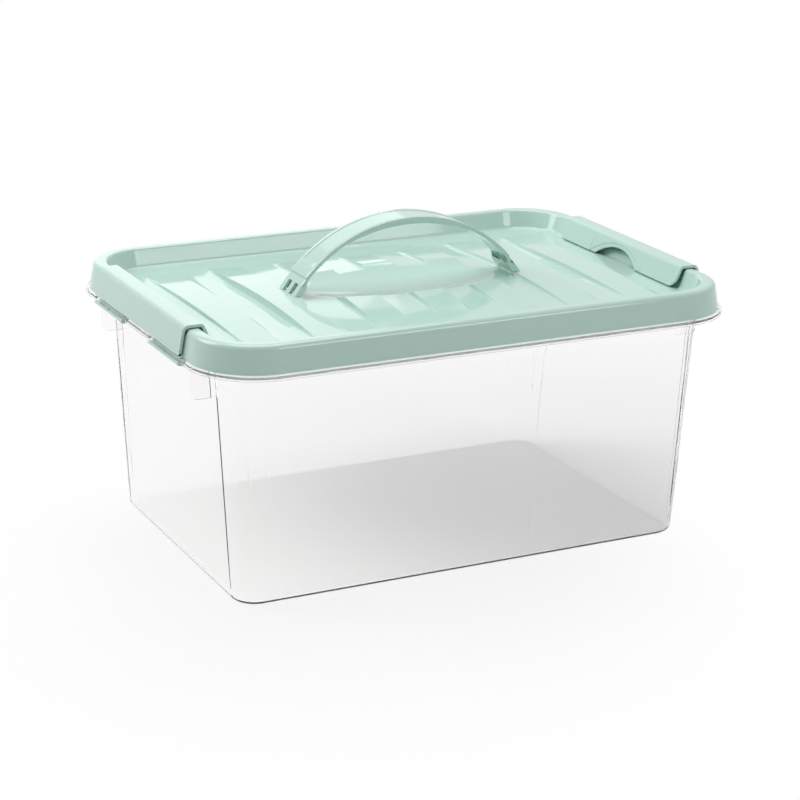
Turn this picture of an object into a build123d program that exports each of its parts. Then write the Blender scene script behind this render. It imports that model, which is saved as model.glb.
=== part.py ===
from build123d import *
from math import cos, radians, sin, sqrt, tan
import os

os.makedirs("parts", exist_ok=True)

# Clear carry box with a mint lid, two clip latches and a fixed carry handle.
# Millimetres, +Z up. The origin is on the floor, under the middle of the box.
# X runs along the long side, Y along the short side.

# Tub
rim_length = 400.0
rim_width = 280.4
rim_corner = 47.0
base_length = 343.0
base_width = 225.2
base_corner = 17.4
tub_wall = 1.8
floor_edge_radius = 5.0
flange_bottom = 165.6
flange_thickness = 2.4
flange_reach = 18.3
collar_inset = 8.8
collar_height = 10.4

# Guard fins under the flange, beside each latch
fin_height = 25.3
fin_thickness = 1.6
fin_gap = 3.2
fin_inset = 5.8
fin_corner = 4.0

# Lid
lid_wall = 2.0
lid_height = 18.65
lid_seat_gap = 0.35
skirt_inset = 2.3
skirt_draft = 10.0
rim_outer_radius = 4.0
rim_inner_radius = 2.4
tray_margin = 19.0
tray_depth = 13.4
tray_corner = 31.0
tray_draft = 20.0
tray_base_radius = 3.0

# Raised bars and low mound of the lid panel
bar_count = 7
bar_pitch = 48.4
bar_width = 24.4
bar_length = 196.0
bar_step = 3.5
mound_rise = 6.5
mound_radius = 118.0

# Finger basin under the handle
basin_depth = 0.3
basin_radius = 100.0
basin_half_length = 84.0
basin_end_rise = 5.3

# Hinge bars in the flange and the latch hooks that turn on them
bar_radius = 1.5
hinge_fit = 0.05
hook_wall = 1.8
hook_length = 54.0
hook_spacing = 106.0
hook_side_gap = 0.5
hook_tip_angle = -20.0
hook_root_angle = 55.0
hook_hole_radius = 1.2
hook_hole_angle = -60.0

# Latches
latch_length = 160.0
latch_wall = 2.0
latch_reach = 21.7
latch_lean = 25.0
latch_skirt_gap = 1.0
latch_top_gap = 0.4
latch_end_gap = 0.8
latch_floor_gap = 0.7
latch_plate_drop = 1.15
latch_corner = 6.5
latch_opening = 180.0
swing_clearance = 0.25
notch_length = 56.0
notch_height = 9.0
holder_count = 5
holder_thickness = 1.6
holder_width = 1.4
holder_gap = 0.8
lid_lift = 14.4

# Handle
handle_radius = 108.0
handle_top = 227.5
handle_width = 26.0
strap_thickness = 2.6
shoulder_step = 0.8
shoulder_half_span = 80.3
grip_edge_height = 222.4
grip_edge_radius = 127.5
grip_rail = 2.2
groove_width = 19.0
groove_depth = 0.6
groove_end_margin = 6.0
prong_count = 3
prong_fit = 0.15
prong_window_height = 7.0
prong_barb = 1.2
prong_barb_height = 3.0

# Levels and places that follow from these
flange_top = flange_bottom + flange_thickness
collar_top = flange_top + collar_height
skirt_bottom = flange_top + lid_seat_gap
lid_top = skirt_bottom + lid_height
tray_floor = lid_top - tray_depth
hinge_x = rim_length / 2 - bar_radius
hinge_z = flange_bottom + flange_thickness / 2
hook_radius = bar_radius + hinge_fit + hook_wall
window_inner = hinge_x - hook_radius - hook_side_gap
window_length = hook_length + 2 * hook_side_gap
hook_middles = (-hook_spacing / 2, hook_spacing / 2)
fin_place = latch_length / 2 + latch_end_gap + fin_gap + fin_thickness / 2
latch_ceiling = lid_top + latch_top_gap
latch_crown = latch_ceiling + latch_wall
latch_floor = tray_floor + latch_floor_gap
latch_plate_bottom = skirt_bottom + latch_plate_drop

# The lid rises while the latches swing, so the rim under a latch is cut back to an arc
# about the hinge bar: over the outer edge of the rim the inner plate has turned this far
# and the lid has risen this much.
rim_edge_angle = 8.0
swing_over_rim = 90 - latch_lean - rim_edge_angle
rise_over_rim = lid_lift * swing_over_rim / latch_opening
rim_arc = latch_reach - rise_over_rim * cos(radians(rim_edge_angle)) - swing_clearance


def inset(section, amount, height):
    """A rounded rectangle (length, width, corner, height) drawn in, at another height."""
    length, width, corner, _ = section
    return (length - 2 * amount, width - 2 * amount, corner - amount, height)


def tapered(lower, upper):
    """Solid between two rounded rectangles."""
    with BuildPart() as form:
        for length, width, corner, height in (lower, upper):
            with BuildSketch(Plane.XY.offset(height)):
                RectangleRounded(length, width, corner)
        loft(ruled=True)
    return form.part


# Tub: one thin-walled moulding with a flange, a collar above it and hinge bars in the flange
foot = (base_length, base_width, base_corner, 0)
rim = (rim_length, rim_width, rim_corner, flange_bottom)
neck = inset(rim, flange_reach, flange_bottom)
neck_inner = inset(neck, tub_wall, flange_bottom)
collar = inset(rim, collar_inset, flange_top)

with BuildPart() as hollow:
    add(tapered(inset(foot, tub_wall, tub_wall), neck_inner))
    fillet(hollow.edges().group_by(Axis.Z)[0], floor_edge_radius - tub_wall)
    with BuildSketch(Plane.XY.offset(flange_bottom)):
        RectangleRounded(*neck_inner[:3])
    extrude(amount=flange_thickness)

with BuildPart() as tub:
    add(tapered(foot, neck))
    fillet(tub.edges().group_by(Axis.Z)[0], floor_edge_radius)
    with BuildSketch(Plane.XY.offset(flange_bottom)):
        RectangleRounded(*rim[:3])
    extrude(amount=flange_thickness)
    # the collar stands on the flange, inside the hollow rim of the lid
    with BuildSketch(Plane.XY.offset(flange_top)):
        RectangleRounded(*collar[:3])
        RectangleRounded(*inset(collar, tub_wall, flange_top)[:3], mode=Mode.SUBTRACT)
    extrude(amount=collar_height)
    # guard fins run from the wall out under the flange
    for y in (-fin_place, fin_place):
        with BuildSketch(Plane.XZ.offset(-y)) as fin:
            with Locations((0, flange_bottom - fin_height / 2)):
                Rectangle(rim_length - 2 * fin_inset, fin_height)
            fillet(fin.vertices().group_by(Axis.Z)[0], fin_corner)
        extrude(amount=fin_thickness / 2, both=True)
    add(hollow.part, mode=Mode.SUBTRACT)
    # each window leaves one round bar at the edge of the flange for a latch hook
    for side in (-1, 1):
        for y in hook_middles:
            with BuildSketch(Plane.XY.offset(flange_bottom)):
                with Locations((side * (window_inner + rim_length / 2) / 2, y)):
                    Rectangle(rim_length / 2 - window_inner, window_length)
            extrude(amount=flange_thickness, mode=Mode.SUBTRACT)
            with BuildSketch(Plane.XZ.offset(-y)):
                with Locations((side * hinge_x, hinge_z)):
                    Circle(bar_radius)
            extrude(amount=window_length / 2 + bar_radius, both=True)

# Lid: a thin moulding with a raised rim all round a tray, bars and a basin in the tray
skirt = (rim_length - 2 * skirt_inset, rim_width - 2 * skirt_inset, rim_corner - skirt_inset, skirt_bottom)
tray = (rim_length - 2 * tray_margin, rim_width - 2 * tray_margin, tray_corner, tray_floor)
tray_mouth = inset(tray, -tray_depth * tan(radians(tray_draft)), lid_top)
bar_middles = [(index - (bar_count - 1) / 2) * bar_pitch for index in range(bar_count)]


def skirt_at(height, inward):
    """Section of the leaning skirt at a height, drawn in by a wall for its inside."""
    return inset(skirt, inward + (height - skirt_bottom) * tan(radians(skirt_draft)), height)


def bar_rise(x):
    """How far a bar stands over the tray at mid-length: its step, on top of the mound."""
    return bar_step + mound_rise * max(0.0, 1 - (x / mound_radius) ** 2)


def raised_forms(drop):
    """Mound and bars, or the hollows under them where they are dropped by a wall."""
    level = tray_floor - drop
    root = level - lid_wall / 2
    with BuildPart() as forms:
        with BuildSketch(Plane.XZ):
            with BuildLine():
                TangentArc((0, level + mound_rise), (mound_radius, level), tangent=(1, 0))
                Polyline((mound_radius, level), (mound_radius, root), (0, root), (0, level + mound_rise))
            make_face()
        revolve(axis=Axis.Z)
        end = bar_length / 2
        for x in bar_middles:
            with BuildSketch(Plane.YZ.offset(x)):
                with BuildLine():
                    ThreePointArc((-end, level), (0, level + bar_rise(x)), (end, level))
                    Polyline((end, level), (end, root), (-end, root), (-end, level))
                make_face()
            extrude(amount=bar_width / 2 - drop, both=True)
    return forms.part


def basin(grow):
    """Boat-shaped hollow turned about a level axis over the lid, grown by a wall beneath."""
    axis_height = tray_floor - basin_depth + basin_radius
    middle = axis_height - basin_radius - grow
    end = basin_half_length + grow
    with BuildPart() as form:
        with BuildSketch(Plane.XZ):
            with BuildLine():
                ThreePointArc((-end, middle + basin_end_rise), (0, middle), (end, middle + basin_end_rise))
                Polyline(
                    (end, middle + basin_end_rise),
                    (end, axis_height),
                    (-end, axis_height),
                    (-end, middle + basin_end_rise),
                )
            make_face()
        revolve(axis=Axis((0, 0, axis_height), (1, 0, 0)))
    return form.part


def beyond_arc(radius, half_length, floor):
    """What lies outside an arc about each hinge bar, along a latch and over a floor."""
    inner = rim_length / 2 - tray_margin - tray_base_radius
    with BuildPart() as zone:
        for side in (-1, 1):
            with BuildSketch(Plane.XZ):
                with Locations((side * (inner + rim_length / 2) / 2, (floor + latch_crown) / 2)):
                    Rectangle(rim_length / 2 - inner, latch_crown - floor)
                with Locations((side * hinge_x, hinge_z)):
                    Circle(radius, mode=Mode.SUBTRACT)
            extrude(amount=half_length, both=True)
    return zone.part


with BuildPart() as tray_pocket:
    add(tapered(tray, tray_mouth))
    fillet(tray_pocket.edges().group_by(Axis.Z)[0], tray_base_radius)

latch_bay = latch_length / 2 + latch_end_gap
with BuildPart() as lid_hollow:
    add(tapered(skirt_at(skirt_bottom, lid_wall), skirt_at(lid_top - lid_wall, lid_wall)))
    island = tapered(inset(tray, -lid_wall, tray_floor - lid_wall), inset(tray_mouth, -lid_wall, lid_top))
    add(island, mode=Mode.SUBTRACT)
    add(raised_forms(lid_wall))
    add(basin(lid_wall), mode=Mode.SUBTRACT)
    add(beyond_arc(rim_arc - lid_wall, latch_bay + lid_wall, tray_floor - lid_wall), mode=Mode.SUBTRACT)

# Foot of the handle, where it stands on the second bar from each end
handle_bar = bar_middles[1]
foot_level = tray_floor + bar_rise(handle_bar)
arch_centre = handle_top - handle_radius
foot_outer = sqrt((handle_radius - shoulder_step) ** 2 - (foot_level - arch_centre) ** 2)
foot_inner = sqrt((handle_radius - strap_thickness) ** 2 - (foot_level - arch_centre) ** 2)
foot_middle = (foot_outer + foot_inner) / 2
foot_thickness = foot_outer - foot_inner
prong_pitch = 2 * handle_width / (2 * prong_count - 1)
prong_width = prong_pitch / 2
prong_places = [(index - (prong_count - 1) / 2) * prong_pitch for index in range(prong_count)]

with BuildPart() as lid:
    add(tapered(skirt_at(skirt_bottom, 0), skirt_at(lid_top, 0)))
    fillet(lid.edges().group_by(Axis.Z)[-1], rim_outer_radius)
    add(tray_pocket.part, mode=Mode.SUBTRACT)
    fillet(lid.edges(Select.LAST).group_by(Axis.Z)[-1], rim_inner_radius)
    add(raised_forms(0))
    add(basin(0), mode=Mode.SUBTRACT)
    add(beyond_arc(rim_arc, latch_bay, tray_floor), mode=Mode.SUBTRACT)
    add(lid_hollow.part, mode=Mode.SUBTRACT)
    # the skirt is cut short over each hook, and the bars under the handle have slots for its prongs
    for side in (-1, 1):
        relief_top = hinge_z + hook_radius + latch_top_gap
        for y in hook_middles:
            with BuildSketch(Plane.XY.offset(skirt_bottom)):
                with Locations((side * (window_inner + rim_length / 2) / 2, y)):
                    Rectangle(rim_length / 2 - window_inner, window_length + 2 * hook_side_gap)
            extrude(amount=relief_top - skirt_bottom, mode=Mode.SUBTRACT)
        for y in prong_places:
            with BuildSketch(Plane.XY.offset(foot_level - 2 * lid_wall)):
                with Locations((side * foot_middle, y)):
                    Rectangle(foot_thickness + 2 * prong_fit, prong_width + 2 * prong_fit)
            extrude(amount=3 * lid_wall, mode=Mode.SUBTRACT)


# Latch: a sheet bent over the rim, with hooks under its outer plate
def outer_plate(height):
    """Inner face of the outer plate, one gap outside the leaning skirt."""
    return skirt_at(height, 0)[0] / 2 + latch_skirt_gap


def inner_plate(height):
    """Face of the inner plate towards the rim; the plate leans away from the hinge bar."""
    nearest_x = hinge_x - latch_reach * cos(radians(latch_lean))
    nearest_z = hinge_z + latch_reach * sin(radians(latch_lean))
    return nearest_x + (height - nearest_z) * tan(radians(latch_lean))


plate_step = latch_wall / cos(radians(latch_lean))
holder_arc = rim_arc + holder_gap

with BuildPart() as latch_right:
    with BuildSketch(Plane.XZ):
        with BuildLine():
            FilletPolyline(
                (outer_plate(latch_plate_bottom) + latch_wall, latch_plate_bottom),
                (outer_plate(latch_crown) + latch_wall, latch_crown),
                (inner_plate(latch_crown) - plate_step, latch_crown),
                (inner_plate(latch_floor) - plate_step, latch_floor),
                (inner_plate(latch_floor), latch_floor),
                (inner_plate(latch_ceiling), latch_ceiling),
                (outer_plate(latch_ceiling), latch_ceiling),
                (outer_plate(latch_plate_bottom), latch_plate_bottom),
                radius=[0.4, 2.4 * latch_wall, 1.6 * latch_wall, 0.4, 0.4, 0.6 * latch_wall, 1.4 * latch_wall, 0.4],
                close=True,
            )
        make_face()
    extrude(amount=latch_length / 2, both=True)
    # cross ribs in the corner of the bend rest over the outer edge of the rim
    for index in range(holder_count):
        y = (index - (holder_count - 1) / 2) * latch_length / holder_count
        rib_right = outer_plate(latch_ceiling) + latch_wall / 2
        with BuildSketch(Plane.XZ.offset(-y)):
            with Locations((rib_right - (holder_width + latch_wall) / 2, latch_ceiling - holder_width)):
                Rectangle(holder_width + latch_wall, 2 * (holder_width + latch_wall / 2))
            with Locations((hinge_x, hinge_z)):
                Circle(holder_arc, mode=Mode.SUBTRACT)
        extrude(amount=holder_thickness / 2, both=True)
    # hooks round the hinge bars, open on the outside where the bar shows
    for y in hook_middles:
        with BuildSketch(Plane.XZ.offset(-y)):
            with Locations((hinge_x, hinge_z)):
                Circle(hook_radius)
                Circle(bar_radius + hinge_fit, mode=Mode.SUBTRACT)
                with BuildLine():
                    reach = 2 * hook_radius
                    Polyline(
                        (0, 0),
                        (reach * cos(radians(hook_tip_angle)), reach * sin(radians(hook_tip_angle))),
                        (reach * cos(radians(hook_root_angle)), reach * sin(radians(hook_root_angle))),
                        (0, 0),
                    )
                make_face(mode=Mode.SUBTRACT)
        extrude(amount=hook_length / 2, both=True)
        # a small drain hole through the middle of each hook
        outward = (cos(radians(hook_hole_angle)), 0, sin(radians(hook_hole_angle)))
        with BuildSketch(Plane(origin=(hinge_x, y, hinge_z), z_dir=outward)):
            Circle(hook_hole_radius)
        extrude(amount=2 * hook_radius, mode=Mode.SUBTRACT)
    # finger notch and cut corners of the inner plate
    with BuildSketch(Plane.YZ.offset(hinge_x - 2 * latch_reach)):
        with BuildLine():
            ThreePointArc(
                (-notch_length / 2, latch_floor),
                (0, latch_floor + notch_height),
                (notch_length / 2, latch_floor),
            )
            Polyline(
                (notch_length / 2, latch_floor),
                (notch_length / 2, tray_floor),
                (-notch_length / 2, tray_floor),
                (-notch_length / 2, latch_floor),
            )
        make_face()
        for end in (-1, 1):
            with BuildLine():
                Polyline(
                    (end * latch_length / 2, latch_floor + latch_corner),
                    (end * (latch_length / 2 - latch_corner), latch_floor),
                    (end * (latch_length / 2 - latch_corner), tray_floor),
                    (end * latch_length / 2, tray_floor),
                    (end * latch_length / 2, latch_floor + latch_corner),
                )
            make_face()
    extrude(amount=1.5 * latch_reach, mode=Mode.SUBTRACT)

with BuildPart() as latch_left:
    add(latch_right.part.rotate(Axis.Z, 180))

# Handle: a bowed strap with a shallow groove on top, deeper edges at the grip and snap prongs
with BuildPart() as carry_handle:
    with BuildSketch(Plane.XZ):
        with Locations((0, arch_centre)):
            Circle(handle_radius)
            Circle(handle_radius - strap_thickness, mode=Mode.SUBTRACT)
        with Locations((0, foot_level - handle_radius)):
            Rectangle(4 * handle_radius, 2 * handle_radius, mode=Mode.SUBTRACT)
    extrude(amount=handle_width / 2, both=True)
    # the ends are thinner from the shoulder down
    with BuildSketch(Plane.XZ):
        with Locations((0, arch_centre)):
            Circle(handle_radius + shoulder_step)
            Circle(handle_radius - shoulder_step, mode=Mode.SUBTRACT)
            Rectangle(2 * shoulder_half_span, 4 * handle_radius, mode=Mode.SUBTRACT)
    extrude(amount=handle_width / 2, both=True, mode=Mode.SUBTRACT)
    # shallow groove along the top
    with BuildSketch(Plane.XZ):
        with Locations((0, arch_centre + handle_radius)):
            Rectangle(2 * (shoulder_half_span - groove_end_margin), 2 * handle_radius)
        with Locations((0, arch_centre)):
            Circle(handle_radius - groove_depth, mode=Mode.SUBTRACT)
    extrude(amount=groove_width / 2, both=True, mode=Mode.SUBTRACT)
    # deeper edges along the grip
    for side in (-1, 1):
        with BuildSketch(Plane.XZ.offset(side * (handle_width - grip_rail) / 2)):
            with Locations((0, arch_centre)):
                Circle(handle_radius - strap_thickness / 2)
            with Locations((0, grip_edge_height - grip_edge_radius)):
                Circle(grip_edge_radius, mode=Mode.SUBTRACT)
        extrude(amount=grip_rail / 2, both=True)
    # windows between the prongs, then the prongs and their barbs under the lid
    for side in (-1, 1):
        for y in prong_places[:-1]:
            with BuildSketch(Plane.XY.offset(foot_level)):
                with Locations((side * foot_inner, y + prong_pitch / 2)):
                    Rectangle(handle_radius - foot_inner, prong_width)
            extrude(amount=prong_window_height, mode=Mode.SUBTRACT)
        barb_top = foot_level - lid_wall - 2 * prong_fit
        for y in prong_places:
            with BuildSketch(Plane.XY.offset(barb_top)):
                with Locations((side * foot_middle, y)):
                    Rectangle(foot_thickness, prong_width)
            extrude(amount=foot_level - barb_top)
            with BuildSketch(Plane.XY.offset(barb_top - prong_barb_height)):
                with Locations((side * (foot_middle + prong_barb / 2), y)):
                    Rectangle(foot_thickness + prong_barb, prong_width)
            extrude(amount=prong_barb_height)

pieces = {
    "tub": tub.part,
    "lid": lid.part,
    "latch_left": latch_left.part,
    "latch_right": latch_right.part,
    "carry_handle": carry_handle.part,
}
for name, piece in pieces.items():
    piece.label = name
    export_step(piece, f"parts/{name}.step")
print("rim arc under the latches", round(rim_arc, 2), "mm, handle foot at", round(foot_level, 2), "mm")
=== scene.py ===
# %% [markdown]
# # A clear carry box with a mint lid
# The real object is five plastic mouldings: a clear tub, a mint lid, two clip latches and a carry handle
# that snaps into the lid. Each becomes one piece here, measured in millimetres on the page and in metres in
# the scene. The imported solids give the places; the pieces below give the soft edges and thin walls of real
# mouldings.

from math import atan, atan2, cos, degrees, pi, radians, sin, sqrt, tan

import bmesh
import bpy
import numpy as np
from mathutils import Matrix, Vector


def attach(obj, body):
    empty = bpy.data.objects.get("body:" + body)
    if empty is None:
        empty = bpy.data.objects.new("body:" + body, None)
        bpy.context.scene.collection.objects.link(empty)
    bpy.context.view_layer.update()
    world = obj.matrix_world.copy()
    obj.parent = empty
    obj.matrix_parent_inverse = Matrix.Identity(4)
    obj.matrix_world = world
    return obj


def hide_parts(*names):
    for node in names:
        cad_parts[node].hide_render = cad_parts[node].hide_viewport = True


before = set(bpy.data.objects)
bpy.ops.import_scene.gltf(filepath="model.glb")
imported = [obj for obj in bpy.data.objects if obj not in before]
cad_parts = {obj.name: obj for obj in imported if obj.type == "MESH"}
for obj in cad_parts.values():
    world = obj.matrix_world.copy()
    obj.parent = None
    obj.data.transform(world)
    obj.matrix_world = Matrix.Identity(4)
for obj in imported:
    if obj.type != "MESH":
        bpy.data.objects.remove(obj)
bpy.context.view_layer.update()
MM = 0.001

# %% [markdown]
# ## Camera
# The lens and the place of the camera were worked out from the outlines of the box, so the picture has the
# same perspective: a long lens, 1.65 metres away, a little above the lid and to the left of the front.

# %% Camera
camera_at = Vector((-0.70741, -1.40015, 0.60801))
look_at = Vector((0.0, -0.00086, 0.0893))
camera_roll = 0.01767
lens_in_pixels = 2288.5
image_pixels = 800

camera_data = bpy.data.cameras.new("photo_camera")
camera = bpy.data.objects.new("photo_camera", camera_data)
bpy.context.scene.collection.objects.link(camera)
camera_data.sensor_fit = "HORIZONTAL"
camera_data.sensor_width = 36.0
camera_data.lens = lens_in_pixels / image_pixels * camera_data.sensor_width
ahead = (look_at - camera_at).normalized()
right = ahead.cross(Vector((0, 0, 1))).normalized()
up = right.cross(ahead)
right, up = (
    right * cos(camera_roll) + up * sin(camera_roll),
    up * cos(camera_roll) - right * sin(camera_roll),
)
turned = Matrix((right, up, -ahead)).transposed().to_4x4()
camera.matrix_world = Matrix.Translation(camera_at) @ turned
bpy.context.scene.camera = camera
print("lens", round(camera_data.lens, 1), "mm, distance", round((look_at - camera_at).length, 2), "m")

# %% [markdown]
# ## Light
# A product picture like this one is taken in a pale room with large soft lamps. The world is a light grey
# where the camera, a reflection or the clear plastic looks at it, and dimmer as a light. The white of the
# picture comes from the floor, so the grey shows only above the horizon of a very low view. There are four
# lamps: one to the left and behind, one above, a small one at the front right, and a weak one behind that
# the lid's panel mirrors.

# %% World and lamps
scene = bpy.context.scene
scene.view_settings.view_transform = "Standard"
world = bpy.data.worlds.new("pale_room")
scene.world = world
world.use_nodes = True
nodes, links = world.node_tree.nodes, world.node_tree.links
nodes.clear()
path = nodes.new("ShaderNodeLightPath")
seen_grey, room_strength = 0.8, 0.36
seen_room = nodes.new("ShaderNodeBackground")
seen_room.inputs["Color"].default_value = (seen_grey, seen_grey, seen_grey, 1)
seen_room.inputs["Strength"].default_value = 1.0
room_light = nodes.new("ShaderNodeBackground")
room_light.inputs["Color"].default_value = (0.96, 0.98, 1.0, 1)
room_light.inputs["Strength"].default_value = room_strength
looked_at = path.outputs["Is Camera Ray"]
for kind in ("Is Glossy Ray", "Is Transmission Ray"):
    either = nodes.new("ShaderNodeMath")
    either.operation = "MAXIMUM"
    links.new(looked_at, either.inputs[0])
    links.new(path.outputs[kind], either.inputs[1])
    looked_at = either.outputs[0]
mix = nodes.new("ShaderNodeMixShader")
world_out = nodes.new("ShaderNodeOutputWorld")
links.new(looked_at, mix.inputs["Fac"])
links.new(room_light.outputs[0], mix.inputs[1])
links.new(seen_room.outputs[0], mix.inputs[2])
links.new(mix.outputs[0], world_out.inputs[0])


def lamp(name, place, size, watts):
    """A square soft lamp that looks at the middle of the box."""
    data = bpy.data.lights.new(name, "AREA")
    data.shape = "SQUARE"
    data.size = size
    data.energy = watts
    lamp_object = bpy.data.objects.new(name, data)
    scene.collection.objects.link(lamp_object)
    aim = Vector((0, 0, 0.12)) - Vector(place)
    lamp_object.matrix_world = Matrix.Translation(place) @ aim.to_track_quat("-Z", "Y").to_matrix().to_4x4()
    return lamp_object


lamp("key_left", (-1.2, 0.9, 1.3), 1.1, 15.0)
lamp("top", (0.1, 0.4, 1.9), 1.4, 19.0)
lamp("front_panel", (0.69, -1.5, 0.85), 0.6, 4.6)
behind = lamp("panel_behind", (0.25, 1.5, 0.62), 0.9, 1.6)
behind.visible_camera = behind.visible_transmission = False

# %% [markdown]
# ## Finishes
# Both plastics are moulded polypropylene or styrene: the colour runs through, and the surface takes the
# polish of the mould. What makes them look real is small: a waviness that bends reflections a little, a
# very fine grain, and a gloss that is not the same everywhere. Noise on Object coordinates gives all three,
# at real sizes.

# %% Node helpers


def link_noise(tree, scale, detail, source):
    """One noise texture on object coordinates; the scale is in waves per metre."""
    noise = tree.nodes.new("ShaderNodeTexNoise")
    noise.inputs["Scale"].default_value = scale
    noise.inputs["Detail"].default_value = detail
    tree.links.new(source.outputs["Object"], noise.inputs["Vector"])
    return noise


def moulded(name, colour, gloss_range, wave_height, grain_height, **sockets):
    """A moulded plastic: wavy and slightly grained, with its gloss varying between two roughnesses."""
    material = bpy.data.materials.new(name)
    material.use_nodes = True
    tree = material.node_tree
    shader = tree.nodes["Principled BSDF"]
    shader.inputs["Base Color"].default_value = (*colour, 1)
    for socket, value in sockets.items():
        shader.inputs[socket.replace("_", " ")].default_value = value
    place = tree.nodes.new("ShaderNodeTexCoord")
    gloss = link_noise(tree, 60, 4, place)
    spread = tree.nodes.new("ShaderNodeMapRange")
    spread.inputs["From Min"].default_value = 0.3
    spread.inputs["From Max"].default_value = 0.7
    spread.inputs["To Min"].default_value = gloss_range[0]
    spread.inputs["To Max"].default_value = gloss_range[1]
    tree.links.new(gloss.outputs["Fac"], spread.inputs["Value"])
    tree.links.new(spread.outputs["Result"], shader.inputs["Roughness"])
    waves = link_noise(tree, 22, 1, place)
    grain = link_noise(tree, 900, 2, place)
    wave_bump = tree.nodes.new("ShaderNodeBump")
    wave_bump.inputs["Distance"].default_value = wave_height * MM
    grain_bump = tree.nodes.new("ShaderNodeBump")
    grain_bump.inputs["Distance"].default_value = grain_height * MM
    tree.links.new(waves.outputs["Fac"], wave_bump.inputs["Height"])
    tree.links.new(grain.outputs["Fac"], grain_bump.inputs["Height"])
    tree.links.new(wave_bump.outputs["Normal"], grain_bump.inputs["Normal"])
    tree.links.new(grain_bump.outputs["Normal"], shader.inputs["Normal"])
    return material


mint = moulded("mint_moulding", (0.50, 0.69, 0.615), (0.05, 0.1), 0.08, 0.0006, IOR=1.55)
clear = moulded(
    "clear_moulding", (0.995, 0.991, 0.989), (0.01, 0.03), 0.012, 0.0, IOR=1.19, Transmission_Weight=0.975
)
# a hazier copy of the clear plastic for the top of the tub: partly the slight haze of clarified plastic,
# partly a painted brightening of the flange band that lies in the lid's shade
clear_edge = moulded(
    "clear_edge_moulding", (0.99, 0.99, 0.99), (0.06, 0.1), 0.0, 0.0, IOR=1.09, Transmission_Weight=0.88
)
print("finishes:", mint.name, clear.name, clear_edge.name)

# %% [markdown]
# ## From numbers to a mesh
# Every moulding here is a thin wall that runs round a rounded rectangle, so its mesh is a set of rings. Two
# small helpers do the work: one bends a corner into an arc, the other makes a mesh from points in
# millimetres and marks the edges that stay crisp.

# %% Mesh helpers


def make_mesh(name, points, faces, crisp=35):
    """A mesh from millimetre points, with doubles merged, faces outwards and crisp edges marked."""
    mesh = bpy.data.meshes.new(name)
    mesh.from_pydata((np.asarray(points, float) * MM).tolist(), [], faces)
    shape = bmesh.new()
    shape.from_mesh(mesh)
    bmesh.ops.remove_doubles(shape, verts=shape.verts, dist=2e-6)
    bmesh.ops.dissolve_degenerate(shape, dist=1e-7, edges=shape.edges)
    bmesh.ops.recalc_face_normals(shape, faces=shape.faces)
    shape.to_mesh(mesh)
    shape.free()
    mesh.shade_smooth()
    mesh.set_sharp_from_angle(angle=radians(crisp))
    return mesh


def rounded(corners, radii, steps=5, closed=True):
    """A flat path of (a, b) points with each corner bent into an arc of its radius."""
    line = []
    count = len(corners)
    for index, (corner, radius) in enumerate(zip(corners, radii)):
        here = Vector(corner)
        if radius == 0 or (not closed and index in (0, count - 1)):
            line.append(tuple(here))
            continue
        back = (Vector(corners[index - 1]) - here).normalized()
        on = (Vector(corners[(index + 1) % count]) - here).normalized()
        half = back.angle(on) / 2
        middle = here + (back + on).normalized() * radius / sin(half)
        start = here + back * radius / tan(half) - middle
        turn = (pi - 2 * half) * (1 if start.y * back.x - start.x * back.y > 0 else -1)
        for step in range(steps + 1):
            line.append(tuple(middle + Matrix.Rotation(turn * step / steps, 2) @ start))
    return line


def placed(name, mesh):
    """An object with this mesh, in the scene."""
    thing = bpy.data.objects.new(name, mesh)
    scene.collection.objects.link(thing)
    return thing


def show(name, mesh, material, body, *stands_for):
    """Puts a finished mesh in the scene, on its body and in place of its solid."""
    piece = placed(name, mesh)
    mesh.materials.clear()
    mesh.materials.append(material)
    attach(piece, body)
    if stands_for:
        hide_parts(*stands_for)
    tris = sum(len(face.vertices) - 2 for face in mesh.polygons)
    low, high = np.array([v.co for v in mesh.vertices]).min(0), np.array([v.co for v in mesh.vertices]).max(0)
    print(name, tris, "triangles,", [round(float(v) / MM, 1) for v in high - low], "mm")
    return piece


# %% [markdown]
# ## Floor
# A plain pale sheet. It is matt and takes the soft shadow of the box. It also glows its own white, which
# grows with distance from points under the box, so the shade near the box is partly painted shade; through
# the clear plastic less of that glow shows, a painted shade that darkens the floor under the tub, most
# towards its right end. How fast it does so was set by comparing renders with the photograph, so it suits
# that view best.

# %% Floor
floor_level = -0.0003  # a hair under the tub, so that the two faces never mix
floor_mesh = bpy.data.meshes.new("floor")
floor_half = 6
floor_turns = ((-1, -1), (1, -1), (1, 1), (-1, 1))
floor_corners = [(sx * floor_half, sy * floor_half, floor_level) for sx, sy in floor_turns]
floor_mesh.from_pydata(floor_corners, [], [(0, 1, 2, 3)])
floor = placed("floor", floor_mesh)
sheet = bpy.data.materials.new("pale_sheet")
sheet.use_nodes = True
tree = sheet.node_tree
matt = tree.nodes["Principled BSDF"]
matt.inputs["Base Color"].default_value = (0.8, 0.8, 0.8, 1)
matt.inputs["Roughness"].default_value = 0.9
matt.inputs["Specular IOR Level"].default_value = 0.1
glow = tree.nodes.new("ShaderNodeEmission")
glow.inputs["Strength"].default_value = 1.0
blend = tree.nodes.new("ShaderNodeMixShader")
seen = tree.nodes.new("ShaderNodeLightPath")
where = tree.nodes.new("ShaderNodeTexCoord")


def glow_share(middle, near, start, end):
    """How much of the floor's look is its own white: a little near the box, all of it further away."""
    distance = tree.nodes.new("ShaderNodeVectorMath")
    distance.operation = "DISTANCE"
    distance.inputs[1].default_value = middle
    spread = tree.nodes.new("ShaderNodeMapRange")
    spread.interpolation_type = "SMOOTHSTEP"
    for label, value in (("From Min", start), ("From Max", end), ("To Min", near), ("To Max", 1.0)):
        spread.inputs[label].default_value = value
    tree.links.new(where.outputs["Object"], distance.inputs[0])
    tree.links.new(distance.outputs["Value"], spread.inputs["Value"])
    return spread.outputs["Result"]
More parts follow.
